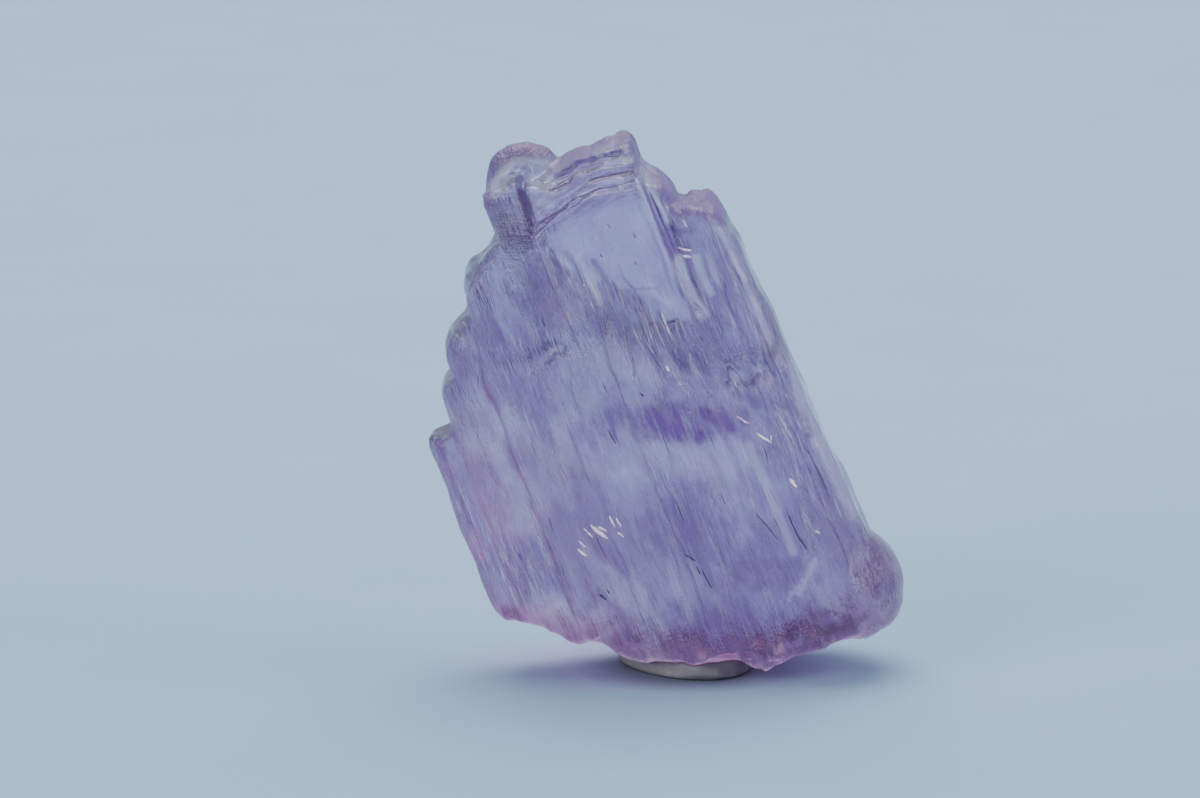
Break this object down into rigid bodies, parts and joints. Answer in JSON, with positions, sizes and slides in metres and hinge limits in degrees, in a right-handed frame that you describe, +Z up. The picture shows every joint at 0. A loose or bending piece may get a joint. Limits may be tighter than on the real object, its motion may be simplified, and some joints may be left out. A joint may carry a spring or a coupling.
{
  "type": "kunzite crystal",
  "caption": "Lilac see-through mineral crystal with ribbed faces, a stepped left side and a ragged top, standing on a pressed lump of grey putty.",
  "frame": {"origin": "on the surface that the putty stands on, under the middle of the bounding box", "axes": "+Z up, +X to the right across the broad face, -Y out of the broad face that the picture shows"},
  "size_m": [0.0306, 0.0118, 0.0351],
  "materials": {
    "kunzite": "glassy, finely striated along its length, lightly frosted in patches",
    "putty": "matte, pressed by hand"
  },
  "bodies": {
    "root": {"kunzite_crystal": "kunzite", "mounting_putty": "putty"}
  },
  "joints": []
}
